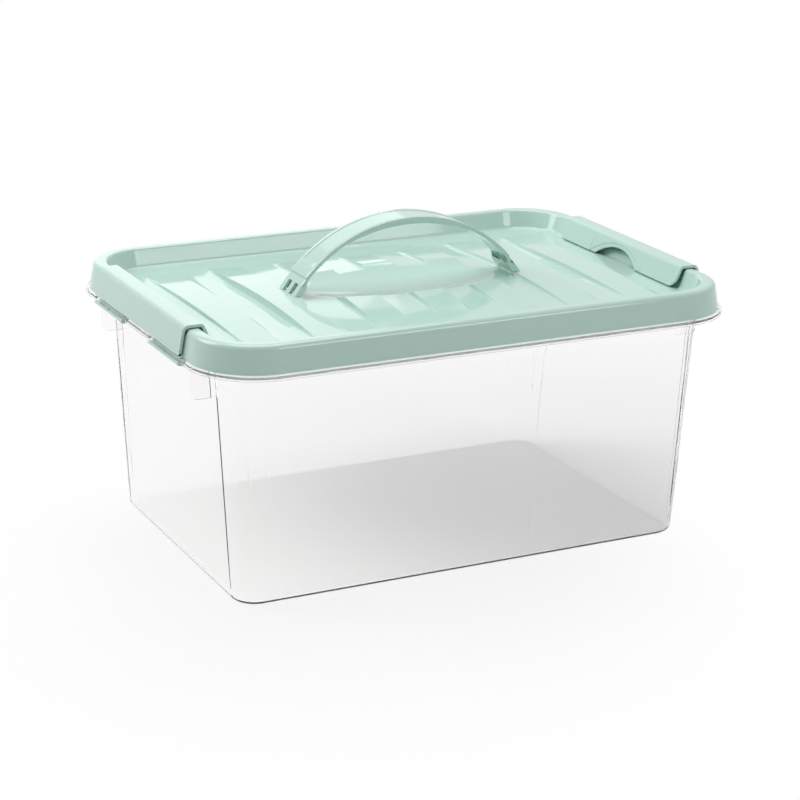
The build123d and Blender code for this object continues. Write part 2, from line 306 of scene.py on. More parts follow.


# painted shade round the box and through it: share of own white near the middle, and metres over which it
# grows
outside_painted_shade = {"middle": (-0.1, -0.1, 0), "near": 0.85, "start": 0.12, "end": 0.34}
inside_painted_shade = {"middle": (0.17, 0.03, 0), "near": 0.42, "start": 0.1, "end": 0.42}
seen_or_mirrored = tree.nodes.new("ShaderNodeMath")
seen_or_mirrored.operation = "MAXIMUM"
tree.links.new(seen.outputs["Is Camera Ray"], seen_or_mirrored.inputs[0])
tree.links.new(seen.outputs["Is Glossy Ray"], seen_or_mirrored.inputs[1])
outside = tree.nodes.new("ShaderNodeMath")
outside.operation = "MULTIPLY"
tree.links.new(seen_or_mirrored.outputs[0], outside.inputs[0])
tree.links.new(glow_share(**outside_painted_shade), outside.inputs[1])
through_plastic = tree.nodes.new("ShaderNodeMix")
tree.links.new(seen.outputs["Is Transmission Ray"], through_plastic.inputs["Factor"])
tree.links.new(outside.outputs[0], through_plastic.inputs["A"])
tree.links.new(glow_share(**inside_painted_shade), through_plastic.inputs["B"])
tree.links.new(through_plastic.outputs["Result"], blend.inputs["Fac"])
tree.links.new(matt.outputs[0], blend.inputs[1])
tree.links.new(glow.outputs[0], blend.inputs[2])
tree.links.new(blend.outputs[0], tree.nodes["Material Output"].inputs["Surface"])
floor_mesh.materials.append(sheet)

# %% [markdown]
# ## Rings round a rounded rectangle
# A ring is given by how far it is drawn in from the rim of the tub, its corner and its height. The same
# list of stations, lines along the sides and angles round the corners, serves every ring, so that
# neighbouring rings can be joined by four-sided faces.

# %% Ring helpers
rim_length, rim_width, rim_corner = 400.0, 280.4, 47.0
corner_shares = [0, 0.06, 0.12, 0.17, 0.205, 0.24, 0.251, 0.261, 0.272, 0.36, 0.46, 0.57, 0.68, 0.79, 0.9, 1]


def grid_angles(shares):
    """Angles round a corner that match a square grid squeezed into a quarter circle."""
    half = [atan2(sqrt(1 - share**2 / 2), share * sqrt(0.5)) for share in shares]
    return [pi / 2 - a for a in half] + [a for a in half[-2::-1]]


def stations(along_x, along_y, quarter):
    """Stops round the outline, anticlockwise from the front left corner: (side or corner, value)."""
    stops = []
    sides = [("front", along_x), ("right", along_y), ("back", along_x[::-1]), ("left", along_y[::-1])]
    for number, (side, values) in enumerate(sides):
        stops += [(side, value) for value in values]
        stops += [(number, angle + (number - 1) * pi / 2) for angle in quarter]
    return stops


def on_ring(stop, half_x, half_y, corner):
    """Where a stop lies on a rounded rectangle."""
    side, value = stop
    if side == "front":
        return value, -half_y
    if side == "back":
        return value, half_y
    if side == "right":
        return half_x, value
    if side == "left":
        return -half_x, value
    sx, sy = ((1, -1), (1, 1), (-1, 1), (-1, -1))[side]
    return (
        sx * (half_x - corner) + corner * cos(value),
        sy * (half_y - corner) + corner * sin(value),
    )


def joined(rings, closed_profile=False):
    """Faces between rings of equal length, laid one after another in one list of points."""
    count = len(rings[0])
    points = [point for ring in rings for point in ring]
    pairs = list(zip(range(len(rings) - 1), range(1, len(rings))))
    if closed_profile:
        pairs.append((len(rings) - 1, 0))
    faces = []
    for a, b in pairs:
        for i in range(count):
            j = (i + 1) % count
            faces.append((a * count + i, a * count + j, b * count + j, b * count + i))
    return points, faces


def capped(rings):
    """Points and faces of a closed skin: faces between the rings and a cap at each end."""
    points, faces = joined(rings)
    count = len(rings[0])
    faces.append(tuple(reversed(range(count))))
    faces.append(tuple(range(len(points) - count, len(points))))
    return points, faces


# %% [markdown]
# ## Geometry Nodes for what repeats
# The hooks, ribs, fins, bars and prongs all repeat. One small node tree copies whatever shape it is given
# along a row, and if asked also turns the whole row round to the other short side of the box. It ends in
# real geometry with its material, because instances would not survive the export.

# %% The row tree


def shape_tree(name, inputs):
    """A node tree that gives geometry, with the named inputs, and its first and last node."""
    tree = bpy.data.node_groups.new(name, "GeometryNodeTree")
    for label, kind in inputs:
        tree.interface.new_socket(label, in_out="INPUT", socket_type="NodeSocket" + kind)
    tree.interface.new_socket("Geometry", in_out="OUTPUT", socket_type="NodeSocketGeometry")
    return tree, tree.nodes.new("NodeGroupInput"), tree.nodes.new("NodeGroupOutput")


def row_tree():
    """Node tree: copies of the incoming shape in a row, and again half a turn round the box."""
    inputs = [("Geometry", "Geometry"), ("Count", "Int"), ("First", "Vector"), ("Step", "Vector")]
    inputs += [("Both sides", "Bool"), ("Finish", "Material")]
    tree, given, out = shape_tree("row_of_copies", inputs)
    line = tree.nodes.new("GeometryNodeMeshLine")
    copies = tree.nodes.new("GeometryNodeInstanceOnPoints")
    turned_row = tree.nodes.new("GeometryNodeTransform")
    turned_row.inputs["Rotation"].default_value = (0, 0, pi)
    both = tree.nodes.new("GeometryNodeJoinGeometry")
    choose = tree.nodes.new("GeometryNodeSwitch")
    choose.input_type = "GEOMETRY"
    real = tree.nodes.new("GeometryNodeRealizeInstances")
    finish = tree.nodes.new("GeometryNodeSetMaterial")
    join = tree.links.new
    join(given.outputs["Count"], line.inputs["Count"])
    join(given.outputs["First"], line.inputs["Start Location"])
    join(given.outputs["Step"], line.inputs["Offset"])
    join(line.outputs["Mesh"], copies.inputs["Points"])
    join(given.outputs["Geometry"], copies.inputs["Instance"])
    join(copies.outputs["Instances"], turned_row.inputs["Geometry"])
    join(copies.outputs["Instances"], both.inputs[0])
    join(turned_row.outputs["Geometry"], both.inputs[0])
    join(given.outputs["Both sides"], choose.inputs["Switch"])
    join(copies.outputs["Instances"], choose.inputs["False"])
    join(both.outputs["Geometry"], choose.inputs["True"])
    join(choose.outputs["Output"], real.inputs["Geometry"])
    join(real.outputs["Geometry"], finish.inputs["Geometry"])
    join(given.outputs["Finish"], finish.inputs["Material"])
    join(finish.outputs["Geometry"], out.inputs["Geometry"])
    return tree


row = row_tree()


def set_inputs(modifier, **values):
    """Sets a node modifier's inputs by their names on the tree."""
    for item in modifier.node_group.interface.items_tree:
        if item.item_type == "SOCKET" and item.in_out == "INPUT" and item.name.replace(" ", "_") in values:
            modifier[item.identifier] = values[item.name.replace(" ", "_")]


def baked(maker):
    """The finished mesh of an object with live modifiers; the object itself is thrown away."""
    bpy.context.view_layer.update()
    evaluated = maker.evaluated_get(bpy.context.evaluated_depsgraph_get())
    mesh = bpy.data.meshes.new_from_object(evaluated)
    mesh.name = maker.name
    bpy.data.objects.remove(maker)
    return mesh


def in_row(name, mesh, count, first, step, both_sides, material):
    """Copies of a small shape in a row, as one plain mesh."""
    maker = placed(name, mesh)
    modifier = maker.modifiers.new("row", "NODES")
    modifier.node_group = row
    set_inputs(
        modifier,
        Count=count,
        First=[v * MM for v in first],
        Step=[v * MM for v in step],
        Both_sides=both_sides,
        Finish=material,
    )
    return baked(maker)


def extruded(name, outline, start, end, crisp=35):
    """A flat (x, z) outline pulled along Y."""
    count = len(outline)
    points = [(x, start, z) for x, z in outline] + [(x, end, z) for x, z in outline]
    faces = [(i, (i + 1) % count, count + (i + 1) % count, count + i) for i in range(count)]
    faces += [tuple(range(count)), tuple(range(2 * count - 1, count - 1, -1))]
    return make_mesh(name, points, faces, crisp)


def combined(name, base, tools):
    """Adds ("UNION") or cuts ("DIFFERENCE") whole meshes to or from a base mesh."""
    maker = placed(name, base)
    helpers = []
    for operation, mesh in tools:
        helper = placed("tool", mesh)
        helpers.append(helper)
        modifier = maker.modifiers.new(operation, "BOOLEAN")
        modifier.operation = operation
        modifier.object = helper
        modifier.solver = "EXACT"
    mesh = baked(maker)
    for helper in helpers:
        bpy.data.objects.remove(helper)
    return mesh


# %% [markdown]
# ## Tub
# A deep thin-walled tub. Its wall leans out a little so that it leaves the mould, a flange runs round the
# top, and a collar stands on the flange inside the lid. The whole wall is one closed skin, outside and
# inside, because clear plastic only looks right when light passes a real thickness.

# %% Tub walls
base_half = (171.5, 112.6, 17.4)
flange_bottom, flange_top, collar_top, lip_bottom = 165.6, 168.0, 178.4, 164.7
flange_reach, tub_wall, collar_inset, lip_width = 18.3, 1.8, 8.8, 1.7
neck_half = (rim_length / 2 - flange_reach, rim_width / 2 - flange_reach, rim_corner - flange_reach)
tub_lean = (neck_half[0] - base_half[0]) / flange_bottom


def tub_section(height, inward):
    """Half sizes and corner of the leaning wall at a height, drawn in by a wall."""
    share = height / flange_bottom
    return [a + (b - a) * share - inward for a, b in zip(base_half, neck_half)]


def tub_foot(radius, inward, floor_height):
    """The rounded edge between floor and wall, as sections with their heights."""
    start = -radius * (sqrt(1 + tub_lean**2) - tub_lean)
    found = []
    for step in range(7):
        angle = -pi / 2 + (pi / 2 - atan(tub_lean)) * step / 6
        height = floor_height + radius + radius * sin(angle)
        out = start + radius * cos(angle) + floor_height * tub_lean
        found.append(([v + out - inward for v in base_half], height))
    return found


def drawn_in(amount):
    """Half sizes and corner of the rim, drawn in."""
    return [rim_length / 2 - amount, rim_width / 2 - amount, rim_corner - amount]


cap_ring = 3  # how far inside the foot the floor's own ring of points lies
outer_foot = tub_foot(5.0, 0.0, 0.0)
sections = [([v - cap_ring for v in outer_foot[0][0]], 0.0)] + outer_foot
sections += [(tub_section(z, 0), z) for z in (30, 60, 90, 120, 150, 164.6)]
sections += [([v + 0.25 for v in tub_section(165.3, 0)], 165.3), ([v + 1 for v in neck_half], flange_bottom)]
for inset, height in rounded(
    [(9, flange_bottom), (lip_width, flange_bottom), (lip_width, lip_bottom), (0, lip_bottom),
     (0, flange_top), (collar_inset, flange_top), (collar_inset, collar_top),
     (collar_inset + tub_wall, collar_top), (collar_inset + tub_wall, flange_top),
     (flange_reach + tub_wall, flange_top), (flange_reach + tub_wall, 160)],
    [0, 0.4, 0.3, 0.5, 0.5, 0.5, 0.6, 0.6, 0.5, 0.8, 0], 3, False,
)[:-1]:
    sections.append((drawn_in(inset), height))
sections += [(tub_section(z, tub_wall), z) for z in (164.0, 150, 120, 90, 60, 30)]
inner_foot = tub_foot(3.2, tub_wall, tub_wall)[::-1]
sections += inner_foot + [([v - cap_ring for v in inner_foot[-1][0]], tub_wall)]
bead_heights = {3.0: 0.3, 31.0: 0.45, 59.0: 0.45, 87.0: 0.35}


def beaded(quarter_steps=14):
    """Angles round a corner of the tub with its four thin beads, and how far each stands out."""
    angles = {90 * k / quarter_steps: 0 for k in range(1, quarter_steps)}
    angles = {a: 0 for a in angles if all(abs(a - middle) > 3 for middle in bead_heights)}
    for middle, rise in bead_heights.items():
        for shift, share in ((-2.2, 0), (-0.9, 1), (0.9, 1), (2.2, 0)):
            angles[middle + shift] = share * rise
    stops = [(0.0, 0)] + sorted(angles.items()) + [(90.0, 0)]
    return [radians(angle) for angle, rise in stops], [rise for angle, rise in stops]


quarter, rises = beaded()
tub_stops = stations([-120, -60, 0, 60, 120], [-60, 0, 60], quarter)
tub_rises = [rises[quarter.index(min(quarter, key=lambda a: abs(a - value + (side - 1) * pi / 2)))]
             if isinstance(side, int) else 0.0 for side, value in tub_stops]


def tub_ring(number, size, height):
    """One ring of the tub; on the outer wall the corner beads stand out a little."""
    outer_wall = len(outer_foot) < number < len(outer_foot) + 7
    ring = []
    for (side, value), rise in zip(tub_stops, tub_rises):
        x, y = on_ring((side, value), *size)
        if rise and outer_wall:
            x, y = x + rise * cos(value), y + rise * sin(value)
        ring.append((x, y, height))
    return ring


tub_rings = [tub_ring(number, size, height) for number, (size, height) in enumerate(sections)]
tub_shell = make_mesh("tub_shell", *capped(tub_rings))
print("tub skin:", len(tub_shell.polygons), "faces, lean", round(degrees(atan(tub_lean)), 2), "degrees")

# %% [markdown]
# ### Windows, hinge bars and guard fins
# On each short side the flange has two windows, and what is left at the edge is a round bar that a latch
# hook turns on. Thin fins run down from the flange on both sides of each latch. Boxes cut the windows; bars
# and fins are added.

# %% Windows, bars and fins
hinge_x, hinge_z, bar_radius, hook_bore = 198.5, 166.8, 2.1, 2.2
hook_radius, hook_length, hook_middle = 4.2, 54.0, 53.0
window_inner = hinge_x - hook_radius - 0.25
window_half = hook_length / 2 + 0.5
fin_place, fin_thickness, fin_depth, fin_reach = 84.8, 1.6, 25.3, 194.2

opening = extruded(
    "window",
    [(window_inner, 160), (205, 160), (205, 170), (window_inner, 170)],
    -window_half,
    window_half,
)
windows = in_row("windows", opening, 2, (0, -hook_middle, 0), (0, 2 * hook_middle, 0), True, clear)
bar_sides, bar_sunk = 20, 1.2
turns = [2 * pi * k / bar_sides for k in range(bar_sides)]
circle = [(hinge_x + bar_radius * cos(t), hinge_z + bar_radius * sin(t)) for t in turns]
bar = extruded("bar", circle, -window_half - bar_sunk, window_half + bar_sunk)
bars = in_row("bars", bar, 2, (0, -hook_middle, 0), (0, 2 * hook_middle, 0), True, clear)
fin_foot = flange_bottom - fin_depth
fin = extruded(
    "fin",
    rounded(
        [(tub_section(fin_foot, 0.9)[0], fin_foot), (fin_reach, fin_foot), (fin_reach, flange_bottom + 0.5),
         (tub_section(165, 0.9)[0], flange_bottom + 0.5)],
        [0, 4, 0, 0],
    ),
    -fin_thickness / 2,
    fin_thickness / 2,
)
fins = in_row("fins", fin, 2, (0, -fin_place, 0), (0, 2 * fin_place, 0), True, clear)
tub_mesh = combined("tub_body", tub_shell, [("DIFFERENCE", windows), ("UNION", bars), ("UNION", fins)])
tub_mesh.shade_smooth()
tub_mesh.set_sharp_from_angle(angle=radians(35))
show("tub_body", tub_mesh, clear, "tub", "tub")
# faces above the lip's lower edge take the hazier copy: haze, and a painted brightening of the flange band
tub_mesh.materials.append(clear_edge)
for face in tub_mesh.polygons:
    face.material_index = int(face.center.z > (lip_bottom - 0.1) * MM)

# %% [markdown]
# ## Lid
# The lid is a thin moulding too: a skirt, a hollow rim with a rounded top, a tray inside it, and in the
# tray seven raised bars on a very low mound with a boat-shaped hollow for the fingers. The panel follows a
# rule, a height for every place, so a grid with its lines set close where the surface turns makes it.

# %% Lid panel heights
tray_floor, lid_top, skirt_bottom, lid_wall = 173.6, 187.0, 168.35, 2.0
bar_pitch, bar_width, bar_length, bar_step = 48.4, 24.4, 196.0, 3.5
mound_rise, mound_radius = 6.5, 118.0
basin_depth, basin_radius, basin_half_length, basin_end_rise = 0.3, 100.0, 84.0, 5.3
panel_bars = [(k - 3) * bar_pitch for k in range(7)]
mound_sphere = (mound_radius**2 + mound_rise**2) / (2 * mound_rise)


def ease(value):
    """A smooth step from 0 to 1."""
    value = np.clip(value, 0, 1)
    return value * value * (3 - 2 * value)


def soft_min(a, b, width):
    """The lower of two heights, with a rounded crease."""
    share = np.clip(0.5 + (b - a) / (2 * width), 0, 1)
    return b * (1 - share) + a * share - width * share * (1 - share)


def panel_height(x, y, wall):
    """Height over the tray floor; with a wall it gives the hollow side under it."""
    mound = mound_rise - (mound_sphere - np.sqrt(mound_sphere**2 - np.minimum(x * x + y * y, 200.0**2)))
    mound = -soft_min(-mound, 0 * x, 0.5)
    height = mound
    for middle in panel_bars:
        rise = bar_step + mound_rise * max(0.0, 1 - (middle / mound_radius) ** 2)
        top = rise * np.maximum(0, 1 - (2 * y / bar_length) ** 2)
        edge = bar_width / 2 - wall - np.abs(x - middle)
        height = height + np.maximum(top - mound, 0) * np.clip(edge / 1.5 + 0.8, 0, 1) ** 1.7
    end = basin_half_length + wall
    axis = basin_radius - basin_depth
    reach = axis + basin_depth - basin_end_rise * np.minimum(1, (x / end) ** 2)
    hollow = axis - np.sqrt(np.maximum(reach**2 - y * y, 1))
    cut = ease((end - np.abs(x)) / 1.2 + 0.5)
    return height + (soft_min(height, hollow, 0.3) - height) * cut


# %% [markdown]
# ### Grid lines
# Lines are needed on both sides of every bar edge, above and below the wall, and at the slots for the
# prongs of the handle. Between them the gaps are filled, closely where the finger hollow cuts across the
# bars.

# %% Grid lines
panel_inset = 21.1
panel_half = (rim_length / 2 - panel_inset, rim_width / 2 - panel_inset, 50.0 - panel_inset)
prong_pitch, prong_width, prong_fit = 10.4, 5.2, 0.15
foot_middle, foot_thickness = 87.93, 2.18
slot_x = (foot_middle - foot_thickness / 2 - prong_fit, foot_middle + foot_thickness / 2 + prong_fit)
slot_y = [
    (k * prong_pitch - prong_width / 2 - prong_fit, k * prong_pitch + prong_width / 2 + prong_fit)
    for k in (-1, 0, 1)
]
bay_end, hook_relief_end = 80.8, 25.0


def filled(lines, fine, fine_until, coarse):
    """Adds lines until no gap is wider than wanted, near the middle or further out."""
    kept = []
    for value in sorted(set(round(v, 3) for v in lines)):
        if not kept or value - kept[-1] > 0.12:
            kept.append(value)
    result = [kept[0]]
    for low, high in zip(kept, kept[1:]):
        gap = fine if max(abs(low), abs(high)) <= fine_until + fine else coarse
        parts = max(1, int(np.ceil((high - low) / gap)))
        result += [low + (high - low) * part / parts for part in range(1, parts + 1)]
    return result


edge_steps = (-1.2, -0.8, -0.45, -0.1, 0.3)
x_lines = [-(panel_half[0] - panel_half[2]), panel_half[0] - panel_half[2], -90, 90]
for middle in panel_bars:
    for side in (-1, 1):
        x_lines += [middle + side * (bar_width / 2 - step) for step in edge_steps]
        x_lines += [middle + side * (bar_width / 2 - lid_wall - step) for step in edge_steps[::4]]
x_lines = [v for v in x_lines if abs(v) <= panel_half[0] - panel_half[2]]
for side in (-1, 1):
    x_lines += [side * value for value in slot_x]
    x_lines += [side * (basin_half_length + step) for step in (-0.6, 0, 0.6, 2.6)]
y_lines = [-(panel_half[1] - panel_half[2]), panel_half[1] - panel_half[2], -45, 45]
y_lines += [side * value for side in (-1, 1) for value in (bay_end, hook_relief_end)]
y_lines += [value for pair in slot_y for value in pair]
x_lines = filled(x_lines, 1.5, 90, 9.0)
y_lines = filled(y_lines, 1.2, 45, 4.5)
print("panel grid:", len(x_lines), "by", len(y_lines), "lines and the corners")

# %% [markdown]
# ### Rim section
# The rim is one section all the way round, except under the latches: there its top is cut back to an arc
# about the hinge bar, so that the latch can swing over it while the lid comes off, and over each hook the
# skirt is shorter.

# %% Rim sections
skirt_inset, skirt_lean, tray_margin, tray_lean = 2.3, tan(radians(10)), 19.0, tan(radians(20))
rim_arc = 16.93


def skirt_in(height, inward=0.0):
    return skirt_inset + inward + (height - skirt_bottom) * skirt_lean


def tray_in(height, outward=0.0):
    return tray_margin - outward - (height - tray_floor) * tray_lean


def arc_path(radius, lean_in, start_height, floor_at):
    """Up the skirt, then over on an arc about the hinge bar and down to the tray floor."""
    centre = rim_length / 2 - hinge_x
    first = 0.0
    while centre + radius * sin(first) < lean_in(hinge_z + radius * cos(first)):
        first += 0.001
    last = pi / 2 - np.arcsin((floor_at - hinge_z) / radius)
    halfway = (start_height + 180) / 2
    path = [(lean_in(start_height), start_height), (lean_in(halfway), halfway)]
    for step in range(19):
        angle = first + (last - first) * step / 18
        path.append((centre + radius * sin(angle), hinge_z + radius * cos(angle)))
    return path


def resampled(path, count):
    """The same path with another number of evenly spread points."""
    path = np.array(path)
    run = np.concatenate([[0], np.cumsum(np.linalg.norm(np.diff(path, axis=0), axis=1))])
    spots = np.linspace(0, run[-1], count)
    return [(float(np.interp(s, run, path[:, 0])), float(np.interp(s, run, path[:, 1]))) for s in spots]


outer_full = rounded(
    [(skirt_in(skirt_bottom), skirt_bottom), (skirt_in(lid_top), lid_top), (tray_in(lid_top), lid_top),
     (tray_in(tray_floor), tray_floor), (panel_inset + 0.01, tray_floor)],
    [0, 4.0, 2.4, 2.98, 0],
    6,
    False,
)
outer_full[-1] = (panel_inset, tray_floor)
outer_count = len(outer_full)
inner_full = rounded(
    [(skirt_in(skirt_bottom, lid_wall), skirt_bottom), (skirt_in(185, lid_wall), 185),
     (tray_in(185, lid_wall), 185), (tray_margin - lid_wall, tray_floor - lid_wall),
     (panel_inset, tray_floor - lid_wall)],
    [0, 2.0, 1.0, 1.0, 0],
    4,
    False,
)
inner_count = len(inner_full)


def bay_sections(bottom):
    """Outer and inner paths under a latch, from a skirt that ends at a height."""
    outer = arc_path(rim_arc, skirt_in, bottom, tray_floor)
    inner = arc_path(rim_arc - lid_wall, lambda z: skirt_in(z, lid_wall), bottom, tray_floor - lid_wall)
    outer = resampled(outer, outer_count - 1) + [(panel_inset, tray_floor)]
    inner = resampled(inner, inner_count - 1) + [(panel_inset, tray_floor - lid_wall)]
    return outer, inner


hook_skirt_bottom = 170.55
rim_sections = {
    "full": (outer_full, inner_full),
    "bay": bay_sections(skirt_bottom),
    "hook": bay_sections(hook_skirt_bottom),
}
print("rim section points:", outer_count, "outside,", inner_count, "inside")

# %% Rim and panel in one mesh
rim_stops = []
for stop in stations(x_lines[1:-1], y_lines[1:-1], grid_angles(corner_shares)):
    side, value = stop
    distance = round(abs(value), 3) if side in ("left", "right") else None
    if distance == bay_end:
        kinds = ["full", "hook"]
    elif distance == hook_relief_end:
        kinds = ["hook", "bay"]
    else:
        inside = distance is not None and distance < bay_end
        kinds = [("bay" if distance < hook_relief_end else "hook") if inside else "full"]
    if len(kinds) == 2:
        # going up the right side and down the left one, the lower end comes first
        rising = (value < 0) == (side == "right")
        kinds = kinds if rising else kinds[::-1]
    rim_stops += [(stop, kind) for kind in kinds]


def rim_ring(surface, index):
    """One ring of the rim: every stop with the section that belongs there."""
    ring = []
    for (side, value), kind in rim_stops:
        inset, height = rim_sections[kind][surface][index]
        corner = (rim_corner if index < (8 if surface == 0 else 5) else 50.0) - inset
        at_bay_end = side in ("left", "right") and round(abs(value), 3) == bay_end
        if at_bay_end and surface == 1 and index < inner_count - 1:
            value = value + (lid_wall if value > 0 else -lid_wall)
        ring.append((*on_ring((side, value), rim_length / 2 - inset, rim_width / 2 - inset, corner), height))
    return ring


rim_rings = [rim_ring(1, i) for i in reversed(range(inner_count))]
rim_rings += [rim_ring(0, i) for i in range(outer_count)]
lid_points, lid_faces = joined(rim_rings)


def full_lines(lines, half, corner):
    """Grid lines with the extra ones that fill the rounded corners."""
    extra = [half - corner + corner * share for share in corner_shares[1:]]
    return [-v for v in extra[::-1]] + list(lines) + extra


grid_x = full_lines(x_lines, panel_half[0], panel_half[2])
grid_y = full_lines(y_lines, panel_half[1], panel_half[2])


def squeezed(x, y):
    """A grid place moved so that the grid's square corners become round."""
    half_x, half_y, corner = panel_half
    a, b = (abs(x) - half_x + corner) / corner, (abs(y) - half_y + corner) / corner
    if a <= 0 or b <= 0:
        return x, y
    x_new = half_x - corner + corner * a * sqrt(1 - b * b / 2)
    y_new = half_y - corner + corner * b * sqrt(1 - a * a / 2)
    return (x_new if x > 0 else -x_new), (y_new if y > 0 else -y_new)


spots = np.array([[squeezed(x, y) for y in grid_y] for x in grid_x])
inside_x = [any(s * 0.5 * (a + b) > lo and s * 0.5 * (a + b) < hi for s in (-1, 1) for lo, hi in [slot_x])
            for a, b in zip(grid_x, grid_x[1:])]
inside_y = [any(lo < 0.5 * (a + b) < hi for lo, hi in slot_y) for a, b in zip(grid_y, grid_y[1:])]


def is_slot(i, j):
    return 0 <= i < len(inside_x) and 0 <= j < len(inside_y) and inside_x[i] and inside_y[j]


level_count = len(grid_x) * len(grid_y)
first_top = len(lid_points)
for wall in (0.0, lid_wall):
    heights = tray_floor - wall + panel_height(spots[:, :, 0], spots[:, :, 1], wall)
    edge = np.zeros(heights.shape, bool)
    edge[0, :] = edge[-1, :] = edge[:, 0] = edge[:, -1] = True
    heights[edge] = tray_floor - wall
    lid_points += [(*spots[i, j], heights[i, j]) for i in range(len(grid_x)) for j in range(len(grid_y))]
for i in range(len(grid_x) - 1):
    for j in range(len(grid_y) - 1):
        a = first_top + i * len(grid_y) + j
        b = a + len(grid_y)
        if not is_slot(i, j):
            lid_faces.append((a, b, b + 1, a + 1))
            lid_faces.append(tuple(v + level_count for v in (a, a + 1, b + 1, b)))
            continue
        left, right = ((i - 1, j), (a, a + 1)), ((i + 1, j), (b + 1, b))
        front, back = ((i, j - 1), (b, a)), ((i, j + 1), (a + 1, b + 1))
        for near, pair in (left, right, front, back):
            if not is_slot(*near):
                lid_faces.append((pair[0], pair[1], pair[1] + level_count, pair[0] + level_count))

# the skirt's lower edge joins the outer and the inner surface
skirt_edge = joined([rim_ring(0, 0), rim_ring(1, 0)])
offset = len(lid_points)
lid_points += skirt_edge[0]
lid_faces += [tuple(v + offset for v in face) for face in skirt_edge[1]]
lid_mesh = make_mesh("lid_moulding", lid_points, lid_faces, 40)
show("lid_moulding", lid_mesh, mint, "lid", "lid")

# %% [markdown]
# ## Latches
# Each latch is a sheet bent over the rim: an outer plate, a flat top and an inner plate that leans towards
# the tray, with a finger notch in its lower edge. Hooks under the outer plate turn on the clear bars, and
# short ribs inside the bend press on the rim.

# %% Latch sheet
latch_half, latch_wall, latch_reach, latch_lean = 80.0, 2.0, 21.7, radians(25)
crown, ceiling, latch_foot, plate_foot = 189.4, 187.4, 174.3, 169.5
notch_half, notch_height, latch_corner = 28.0, 9.0, 6.5
scoop_half, scoop_height, scoop_depth = 36.0, 12.0, 0.5


def outer_plate(height):
    return rim_length / 2 - skirt_in(height) + 1.0


def inner_plate(height):
    nearest_x = hinge_x - latch_reach * cos(latch_lean)
    nearest_z = hinge_z + latch_reach * sin(latch_lean)
    return nearest_x + (height - nearest_z) * tan(latch_lean)


def lower_edge(y):
    """Height of the inner plate's lower edge: a round notch in the middle, round corners at the ends."""
    height = latch_foot
    if abs(y) < notch_half:
        radius = (notch_half**2 + notch_height**2) / (2 * notch_height)
        height += sqrt(radius**2 - y * y) - (radius - notch_height)
    past = abs(y) - (latch_half - latch_corner)
    if past > 0:
        height += latch_corner - sqrt(max(latch_corner**2 - past * past, 0))
    return height


def latch_section(y):
    low = lower_edge(y)
    step = latch_wall / cos(latch_lean)
    radius = (scoop_half**2 + scoop_height**2) / (2 * scoop_height)
    rim = latch_foot + sqrt(radius**2 - min(abs(y), scoop_half) ** 2) - (radius - scoop_height)
    dip = scoop_depth * float(ease((scoop_half - abs(y)) / 1.5))
    rim = max(rim, low + 1.3)
    return rounded(
        [(outer_plate(plate_foot) + latch_wall, plate_foot), (outer_plate(crown) + latch_wall, crown),
         (inner_plate(crown) - step, crown), (inner_plate(rim + 0.3) - step, rim + 0.3),
         (inner_plate(rim - 0.3) - step + dip, rim - 0.3), (inner_plate(low) - step + dip, low),
         (inner_plate(low), low), (inner_plate(ceiling), ceiling), (outer_plate(ceiling), ceiling),
         (outer_plate(plate_foot), plate_foot)],
        [0.6, 4.8, 3.2, 0, 0, 0.6, 0.4, 1.2, 2.8, 0.4],
        6,
    )


scoop_lines = (30, 32, 34, 34.6, 35.2, 36, 38)
corner_lines = (45, 58, 70, 73.5, 75, 76.5, 77.8, 78.8, 79.5, 80.0)
latch_lines = sorted(
    set([round(-notch_half + 2 * notch_half * k / 28, 3) for k in range(29)])
    | set(s * v for s in (-1, 1) for v in scoop_lines + corner_lines)
)
latch_rings = [[(x, y, z) for x, z in latch_section(y)] for y in latch_lines]
sheet_mesh = make_mesh("latch_sheet", *capped(latch_rings), 40)
maker = placed("latch_sheet", sheet_mesh)
edge_round = maker.modifiers.new("edges", "BEVEL")
latch_edge_radius = 0.6
edge_round.width = latch_edge_radius * MM
edge_round.segments = 3
edge_round.limit_method = "ANGLE"
edge_round.angle_limit = radians(60)
latch_sheet = baked(maker)
print("latch sheet:", len(latch_sheet.polygons), "faces")

# %% [markdown]
# ### Hooks and ribs
# A hook is an arc with a thick rectangular section pulled along the bar. The tree below draws the arc,
# gives it its wall and length, drills the small drain hole and sets two hooks on the latch.

# %% Hook tree


